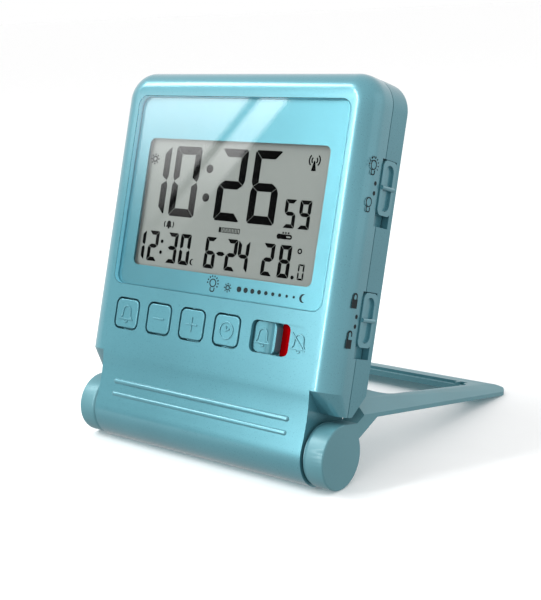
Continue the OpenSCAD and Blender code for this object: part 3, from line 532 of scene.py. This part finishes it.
def plate(name, shapes, plane, rise, material, body, sink=0.0, edge=0.0):
    """A thin raised or printed piece on a plane of the case, riding on a body."""
    mesh = bpy.data.meshes.new(name)
    bm = bmesh.new()
    for points, faces in shapes:
        bottom = [bm.verts.new(PLACE @ Vector(plane(u, v, -sink))) for u, v in points]
        top = [bm.verts.new(PLACE @ Vector(plane(u, v, rise))) for u, v in points]
        rims = {}
        for face in faces:
            bm.faces.new([top[i] for i in face])
            bm.faces.new([bottom[i] for i in reversed(face)])
            for i, a in enumerate(face):
                b = face[(i + 1) % len(face)]
                side = frozenset((a, b))
                rims[side] = None if side in rims else (a, b)
        for pair in rims.values():
            if pair:
                a, b = pair
                bm.faces.new([top[b], top[a], bottom[a], bottom[b]])
    bmesh.ops.recalc_face_normals(bm, faces=bm.faces)
    bm.to_mesh(mesh)
    bm.free()
    piece = bpy.data.objects.new(name, mesh)
    bpy.context.scene.collection.objects.link(piece)
    mesh.materials.append(material)
    if edge:
        crease(piece)
        round_edges(piece, edge)
    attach(piece, body)


# Seven-segment figures
SEGMENTS = {
    "0": "abcdef",
    "1": "bc",
    "2": "abdeg",
    "3": "abcdg",
    "4": "bcfg",
    "5": "acdfg",
    "6": "acdefg",
    "8": "abcdefg",
    "9": "abcdfg",
    "-": "g",
}
SEGMENT_GAP = 0.06

# Shares of a segment's thickness: its cut corners, the middle bar's tips and the uprights' shoulders
SEGMENT_CUT = 0.3
SEGMENT_TIP = 0.25
SEGMENT_SHOULDER = 0.55


def figure(sign, x, v, width, height, thick):
    """One seven-segment figure; x and v are its lower left corner."""
    cut = SEGMENT_CUT * thick
    tip = SEGMENT_TIP * thick
    waist = height / 2
    upper = waist + thick / 2
    lower = waist - thick / 2
    shoulder = waist + SEGMENT_SHOULDER * thick
    level = [(cut, height), (width - cut, height), (width - cut / 2, height - cut / 2)]
    level += [(width - thick, height - thick), (thick, height - thick), (cut / 2, height - cut / 2)]
    upright = [(0, height - cut), (cut / 2, height - cut / 2), (thick, height - thick)]
    upright += [(thick, upper), (tip, waist), (0, shoulder)]
    middle = [(tip, waist), (thick, upper), (width - thick, upper)]
    middle += [(width - tip, waist), (width - thick, lower), (thick, lower)]
    outlines = {
        "a": level,
        "b": [(width - p, q) for p, q in upright],
        "c": [(width - p, height - q) for p, q in upright],
        "d": [(p, height - q) for p, q in level],
        "e": [(p, height - q) for p, q in upright],
        "f": upright,
        "g": middle,
    }
    shapes = []
    for part in SEGMENTS[sign]:
        shapes += polygon(inset(outlines[part], SEGMENT_GAP))
    return moved(shapes, x, v)


# Signs, drawn about one unit high round their own middle; width is that of their lines
def bell_outline(dome, foot):
    """Outline of a bell with a dome of that radius, flared to a lip at its foot."""
    left = [(-dome - 0.16, foot), (-dome - 0.03, -0.14), (-dome, 0.12)] + arc((0, 0.14), dome, 170, 90, 5)
    right = [(-x, y) for x, y in reversed(left[:-1])]
    return left + right


def bell(width):
    """A bell in lines, with its clapper."""
    clapper = arc((0, -0.34), 0.12, 200, 340, 6)
    return stroke(bell_outline(0.26, -0.3), width, closed=True) + stroke(clapper, width)


def crossed_bell(width):
    """A bell struck through."""
    return bell(width) + stroke([(-0.45, 0.45), (0.45, -0.45)], width)


def minus_sign(width):
    """A level line."""
    return stroke([(-0.38, 0), (0.38, 0)], width)


def plus_sign(width):
    """A level and an upright line."""
    return minus_sign(width) + stroke([(0, -0.38), (0, 0.38)], width)


def clock_sign(width):
    """A dial with two hands."""
    return ring((0, 0), 0.42, width) + stroke([(-0.02, 0.24), (0, 0), (0.2, 0.1)], width)


def bulb(width, lit):
    """A lamp bulb one unit high, with rays round all but its base if it is lit."""
    middle = (0, 0.17)
    base = [(-0.19, -0.16), (-0.19, -0.38), (-0.1, -0.46), (0.1, -0.46), (0.19, -0.38), (0.19, -0.16)]
    shapes = ring(middle, 0.33 - width / 2, width) + stroke(base, width)
    if lit:
        shapes += rays(middle, (0.45, 0.58), range(-28, 181, 26), 1.2 * width)
    return shapes


def padlock(width, shut):
    """A padlock: solid body one unit wide and a shackle that is shut or lifted out on its right."""
    shapes = polygon([(-0.5, -0.5), (0.5, -0.5), (0.5, 0.5), (-0.5, 0.5)])
    turn = 0.8 if shut else 1.1
    right = 0.45 if shut else 0.85
    return shapes + stroke([(0.33, right)] + arc((0, turn), 0.33, 0, 180, 12) + [(-0.33, 0.45)], width)


def sun_sign(width):
    """A small ring with eight rays."""
    return ring((0, 0), 0.22, width, 16) + rays((0, 0), (0.33, 0.48), range(0, 360, 45), width)


def moon_sign():
    """A crescent, filled by strips between its outer and its inner arc."""
    outer = arc((0, 0), 0.42, 60, 300, 16)
    inner = arc((0.2, 0), 0.365, 274, 86, 14)
    count = len(outer)
    points = outer + inner
    faces = []
    steps = len(inner) - 1
    for i in range(count - 1):
        near = count + steps - round(i * steps / (count - 1))
        far = count + steps - round((i + 1) * steps / (count - 1))
        faces.append((i, i + 1, far, near) if near != far else (i, i + 1, near))
    return [(points, faces)]


def ringing_bell():
    """A solid bell between two sound waves."""
    shapes = polygon(bell_outline(0.3, -0.32)) + disc((0, -0.38), 0.14, 14)
    for side in (0, 180):
        shapes += stroke(arc((0, 0), 0.72, side - 28, side + 28, 8), 0.14)
    return shapes


def week_strip():
    """Seven boxes for the days, the first one filled."""
    box = [(-0.38, -0.65), (0.38, -0.65), (0.38, 0.65), (-0.38, 0.65)]
    shapes = moved(polygon(box), -3, 0)
    for i in range(1, 7):
        shapes += moved(stroke(inset(box, 0.09), 0.18, closed=True), i - 3, 0)
    return shapes


def thermometer_sign(width):
    """A thermometer lying on its side, with ticks above it."""
    shapes = disc((-0.62, 0), 0.24, 18)
    stem = [(-0.5, 0.14)] + arc((0.6, 0), 0.14, 90, -90, 6) + [(-0.5, -0.14)]
    shapes += stroke(stem, width) + stroke([(-0.5, 0), (0.2, 0)], width)
    for x in (-0.2, 0.1, 0.4):
        shapes += stroke([(x, 0.26), (x, 0.42)], width)
    return shapes


def mast_sign():
    """A radio mast with two waves on each side."""
    shapes = polygon([(-0.2, -0.5), (0.2, -0.5), (0.05, 0.2), (-0.05, 0.2)])
    for side in (0, 180):
        for radius in (0.24, 0.46):
            shapes += stroke(arc((0, 0.24), radius, side - 48, side + 48, 8), 0.1)
    return shapes


# Rows of figures on the display, in millimetres; v is a row's foot above the lens's lower edge
TIME_ROW = {"v": 19.9, "height": 19.2, "thick": 2.3}
SECONDS_ROW = {"v": 19.7, "width": 3.7, "height": 7.4, "thick": 1.12}
LOW_ROW = {"v": 7.1, "width": 3.8, "height": 8.4, "thick": 1.2}
TENTHS_ROW = {"v": 7.1, "width": 2.0, "height": 4.1, "thick": 0.55}

# Figures and their left edges, and their widths in the row of the time
TIME = (("1", -32.2, 9.2), ("0", -21.3, 9.3), ("2", -5.1, 9.1), ("6", 6.2, 9.1))
SECONDS = (("5", 18.1), ("9", 22.7))
ALARM_TIME = (("1", -31.8), ("2", -26.9), ("3", -19.9), ("0", -15.2))
DATE = (("6", -6.2), ("-", -2.6), ("2", 1.0), ("4", 5.0))
DEGREES = (("2", 13.2), ("8", 18.5))
TENTHS = (("0", 24.9),)

# Dots beside the figures: middle and radius
TIME_COLON = ((-8.6, 25.7, 1.15), (-8.6, 33.4, 1.15))
ALARM_COLON = ((-21.9, 9.8, 0.5), (-21.9, 12.8, 0.5))
DECIMAL_POINT = ((23.5, 7.6, 0.5),)

DEGREE_MIDDLE = (24.7, 14.3)
DEGREE_RADIUS = 0.55
DEGREE_LINE = 0.34

# Signs on the display: shapes, middle and size
DISPLAY_SIGNS = (
    (mast_sign(), 25.2, 36.3, 3.6),
    (sun_sign(0.13), -28.9, 35.2, 3.2),
    (ringing_bell(), -20.3, 17.6, 2.3),
    (week_strip(), 1.1, 17.6, 1.05),
    (thermometer_sign(0.14), 19.3, 17.5, 2.9),
    (moon_sign(), -10.1, 8.2, 2.0),
)
SEGMENT_LIFT = 0.05


def display_figures():
    """The dark segments, just in front of the display glass."""
    shapes = []
    for sign, x, width in TIME:
        shapes += figure(sign, x, width=width, **TIME_ROW)
    rows = ((SECONDS_ROW, SECONDS), (LOW_ROW, ALARM_TIME + DATE + DEGREES), (TENTHS_ROW, TENTHS))
    for row, figures in rows:
        for sign, x in figures:
            shapes += figure(sign, x, **row)
    for x, v, radius in TIME_COLON + ALARM_COLON + DECIMAL_POINT:
        shapes += disc((x, v), radius)
    shapes += ring(DEGREE_MIDDLE, DEGREE_RADIUS, DEGREE_LINE, 16)
    shapes += placed(DISPLAY_SIGNS)
    plate("lcd_figures", moved(shapes, 0, LENS_Z), on_face(GLASS_Y), SEGMENT_LIFT, SEGMENT, "case")


# Marks printed under the display, in millimetres above the lens's lower edge: shapes, middle and size
LENS_SIGNS = (
    (bulb(0.09, True), -0.8, 2.9, 3.5),
    (sun_sign(0.12), 4.4, 2.8, 2.6),
    (moon_sign(), 28.6, 2.8, 2.6),
)
NIGHT_DOTS = 9
NIGHT_DOT_FIRST = (8.2, 2.8)
NIGHT_DOT_STEP = 2.2
NIGHT_DOT_RADIUS = 0.75
NIGHT_DOT_FADE = 0.05
PRINT_LIFT = 0.03


def lens_marks():
    """A lamp and a day-to-night strip printed on the film under the display."""
    shapes = placed(LENS_SIGNS)
    x, v = NIGHT_DOT_FIRST
    for i in range(NIGHT_DOTS):
        shapes += disc((x + NIGHT_DOT_STEP * i, v), NIGHT_DOT_RADIUS - NIGHT_DOT_FADE * i, 16)
    plate("lens_marks", moved(shapes, 0, LENS_Z), on_face(FILM_Y), PRINT_LIFT, MARK, "case")


# Raised signs, in millimetres, with the places of the alarm slide's dish and of the land beside its slot
SIGN_SIZE = 5.2
SIGN_LINE = 0.42
SIGN_RISE = 0.25
SIGN_SINK = 0.1
SIGN_EDGE = 0.1
DISH_DEPTH = 1.2
DISH_MIDDLE = 5.7
LAND_DEPTH = 0.4
LAND_WIDTH = 6.2

KEY_SIGNS = {"alarm_key": bell, "minus_key": minus_sign, "plus_key": plus_sign, "time_key": clock_sign}


def raised_sign(name, sign, x, y, z, body):
    """A sign moulded on a front surface at depth y."""
    shapes = moved(sign(SIGN_LINE / SIGN_SIZE), x, z, SIGN_SIZE)
    plate(name, shapes, on_face(y), SIGN_RISE, PAINT, body, sink=SIGN_SINK, edge=SIGN_EDGE)


def key_marks():
    """Raised signs on the four keys, on the alarm slide and on the land beside it."""
    for name, sign in KEY_SIGNS.items():
        low, high = case_box(name)
        middle = (low + high) / 2
        raised_sign(name + "_sign", sign, middle.x, low.y, middle.z, name)
    low, high = case_box("alarm_slide")
    row_z = (low.z + high.z) / 2
    dish_x = high.x - DISH_MIDDLE
    dish_y = FACE_Y + DISH_DEPTH
    raised_sign("alarm_slide_sign", bell, dish_x, dish_y, row_z, "alarm_slide")
    land_x = case_box("alarm_flag")[1].x + LAND_WIDTH / 2
    land_y = FACE_Y + LAND_DEPTH
    raised_sign("alarm_off_sign", crossed_bell, land_x, land_y, row_z, "case")


# Marks printed on the right side: shapes, their middle's depth and height in the case's millimetres, and size
SIDE_SIGNS = (
    (bulb(0.06, True), -4.87, 70.7, 3.7),
    (bulb(0.06, False), -4.7, 61.7, 3.7),
    (padlock(0.18, True), -4.4, 37.6, 2.2),
    (padlock(0.18, False), -4.4, 27.8, 2.2),
)
SIDE_DOTS = ((-3.1, 67.1), (-3.1, 64.7), (-2.8, 34.6), (-2.8, 32.2))
SIDE_DOT_RADIUS = 0.56
SIDE_LIFT = 0.02
SIDE_SINK = 0.1


def side_marks():
    """Printed lamp and padlock signs beside the two side slides."""
    shapes = placed(SIDE_SIGNS)
    for middle in SIDE_DOTS:
        shapes += disc(middle, SIDE_DOT_RADIUS, 16)
    plate("side_marks", shapes, on_side(SIDE_X), SIDE_LIFT, MARK, "case", sink=SIDE_SINK)


finish_nodes()
display_figures()
lens_marks()
key_marks()
side_marks()


# Camera: place in metres, directions, and lens and film in millimetres
CAMERA_PLACE = Vector((0.1972, -0.25768, 0.11466))
CAMERA_FORWARD = Vector((-0.608, 0.7569, -0.2395)).normalized()
CAMERA_UP = Vector((-0.1163, 0.2134, 0.970))
FOCAL_LENGTH = 70.25
FILM_WIDTH = 36
NEAREST = 0.01

# Soft boxes, turned to the clock's middle: name, place and size in metres, power in watts, colour
MIDDLE = Vector((0, -0.02, 0.05))
CASE_UP = PLACE.to_3x3() @ Vector((0, 0, 1))
LAMPS = (
    ("front_strip", (-0.318, -0.66, 0.257), (0.06, 0.7), 3.1, (0.95, 1.0, 1.0)),
    ("top_box", (-0.456, -0.354, 0.573), (0.3, 0.26), 2.7, (0.94, 1.0, 1.0)),
    ("side_fill", (0.7, 0.1, 0.35), (0.6, 0.6), 0.4, (1.0, 1.0, 1.0)),
)

# The floor, and the world's light below the horizon with the heights between which it fades
FLOOR_REACH = 60.0
FLOOR_WHITE = (0.99, 0.99, 0.99)
GROUND_LIGHT = 0.56
FADE_LOW = -0.4
FADE_HIGH = -0.03

# The window's reflection on the lens, across and up it in millimetres: its slanted right edge, how it fades
# from the top down, and where its two panes start and end left of that edge
GLARE_STRENGTH = 3.8
GLARE_REACH = 0.4
GLARE_EDGE = ((16.0, 52.2), (-7.9, 23.35))
GLARE_ROWS = ((58, 1.0), (48, 0.8), (38, 0.5), (28, 0.2), (18, 0.05), (8, 0.0))
GLARE_PANES = ((0.0, -9.0), (-12.5, -70.0))

# The dark card behind the window: its corners' reflections, across and up the lens in millimetres
CARD_REACH = 0.55
CARD_DARK = (0.03, 0.03, 0.03)
CARD_CORNERS = ((-48, -80), (42, -80), (42, 120), (-48, 120))


def stage_mesh(name, points, faces, material):
    """A piece of the stage, which isn't part of the clock."""
    mesh = bpy.data.meshes.new(name)
    mesh.from_pydata([tuple(p) for p in points], [], faces)
    mesh.materials.append(material)
    piece = bpy.data.objects.new(name, mesh)
    bpy.context.scene.collection.objects.link(piece)
    return piece


def only_reflected(piece):
    """Lets a studio card show in gloss alone."""
    piece.visible_camera = False
    piece.visible_diffuse = False
    piece.visible_shadow = False
    piece.visible_transmission = False


def floor():
    """A wide pale floor that takes shadows but neither lights the clock nor shows in its gloss."""
    reach = FLOOR_REACH
    corners = [(-reach, -reach, 0), (reach, -reach, 0), (reach, reach, 0), (-reach, reach, 0)]
    finish = {"rough": 0.8, "tone": 0.01, "scale": FLOOR_GRAIN, "specular": 0.1}
    material = moulded_plastic("pale_floor", FLOOR_WHITE, **finish)
    piece = stage_mesh("floor", corners, [(0, 1, 2, 3)], material)
    piece.visible_diffuse = False
    piece.visible_glossy = False


def emitter(name, strength):
    """The glow of a card, brightest where its mesh's glow attribute is 1."""
    material, tree, shader = new_material(name)
    tree.nodes.remove(shader)
    glow = add_node(tree, "ShaderNodeAttribute", attribute_name="glow")
    light = add_node(tree, "ShaderNodeEmission", Color=(1, 1, 1, 1))
    level = add_node(tree, "ShaderNodeMath", operation="MULTIPLY")
    level.inputs[1].default_value = strength
    tree.links.new(glow.outputs["Fac"], level.inputs[0])
    tree.links.new(level.outputs[0], light.inputs["Strength"])
    tree.links.new(light.outputs["Emission"], tree.nodes["Material Output"].inputs["Surface"])
    return material


def mirrored(x, v, reach):
    """The point in the studio that the lens shows at x across and v up it, seen from the camera."""
    point = PLACE @ Vector((x, FACE_Y, LENS_Z + v))
    normal = -PRESS
    image = CAMERA_PLACE - 2 * (CAMERA_PLACE - point).dot(normal) * normal
    return point + (point - image).normalized() * reach


def window_glare():
    """Two glowing panes that the lens mirrors towards the camera."""
    (x1, v1), (x0, v0) = GLARE_EDGE
    lean = (x1 - x0) / (v1 - v0)
    material = emitter("window_glow", GLARE_STRENGTH)
    for number, (right, left) in enumerate(GLARE_PANES):
        points, faces, glow = [], [], []
        for row, (v, level) in enumerate(GLARE_ROWS):
            edge = x0 + lean * (v - v0)
            points += [mirrored(edge + right, v, GLARE_REACH), mirrored(edge + left, v, GLARE_REACH)]
            glow += [level, level]
            if row:
                faces.append((2 * row - 2, 2 * row - 1, 2 * row + 1, 2 * row))
        pane = stage_mesh(f"window_pane_{number}", points, faces, material)
        values = pane.data.attributes.new("glow", "FLOAT", "POINT")
        for i, level in enumerate(glow):
            values.data[i].value = level
        only_reflected(pane)


def dark_card():
    """A dark card that the lens mirrors beside the window, so that the digits stay black."""
    material = moulded_plastic("grey_card", CARD_DARK, rough=0.9, specular=0.0)
    corners = [mirrored(x, v, CARD_REACH) for x, v in CARD_CORNERS]
    only_reflected(stage_mesh("grey_card", corners, [(0, 1, 2, 3)], material))


def area_light(name, place, size, power, colour):
    """A soft box whose upright leans back like the case. The clear lens doesn't mirror it."""
    light = bpy.data.lights.new(name, "AREA")
    light.shape = "RECTANGLE"
    light.size, light.size_y = size
    light.energy = power
    light.color = colour
    lamp = bpy.data.objects.new(name, light)
    back = (Vector(place) - MIDDLE).normalized()
    across = CASE_UP.cross(back).normalized()
    turn = Matrix((across, back.cross(across), back)).transposed()
    lamp.matrix_world = Matrix.Translation(Vector(place)) @ turn.to_4x4()
    bpy.context.scene.collection.objects.link(lamp)
    unlit = bpy.data.collections.new(name + "_unlit")
    unlit.objects.link(NODES["display_lens"])
    unlit.collection_objects[0].light_linking.link_state = "EXCLUDE"
    lamp.light_linking.receiver_collection = unlit


def world():
    """White light from above, and a dimmer return from below the horizon."""
    sky = bpy.data.worlds.new("studio")
    sky.use_nodes = True
    tree = sky.node_tree
    coords = add_node(tree, "ShaderNodeTexCoord")
    split = add_node(tree, "ShaderNodeSeparateXYZ")
    tree.links.new(coords.outputs["Generated"], split.inputs["Vector"])
    height = add_node(tree, "ShaderNodeMapRange")
    height.inputs["From Min"].default_value = FADE_LOW
    height.inputs["From Max"].default_value = FADE_HIGH
    tree.links.new(split.outputs["Z"], height.inputs["Value"])
    stops = [(0.0, (GROUND_LIGHT, GROUND_LIGHT, GROUND_LIGHT)), (1.0, (1, 1, 1))]
    tree.links.new(ramp(tree, height.outputs["Result"], stops), tree.nodes["Background"].inputs["Color"])
    bpy.context.scene.world = sky


def camera():
    """The photograph's viewpoint."""
    right = CAMERA_FORWARD.cross(CAMERA_UP).normalized()
    up = right.cross(CAMERA_FORWARD)
    lens = bpy.data.cameras.new("camera")
    lens.lens = FOCAL_LENGTH
    lens.sensor_width = FILM_WIDTH
    lens.clip_start = NEAREST
    viewer = bpy.data.objects.new("camera", lens)
    turn = Matrix((right, up, -CAMERA_FORWARD)).transposed()
    viewer.matrix_world = Matrix.Translation(CAMERA_PLACE) @ turn.to_4x4()
    bpy.context.scene.collection.objects.link(viewer)
    bpy.context.scene.camera = viewer


floor()
world()
for name, place, size, power, colour in LAMPS:
    area_light(name, place, size, power, colour)
window_glare()
dark_card()
camera()
bpy.context.scene.view_settings.view_transform = "Standard"
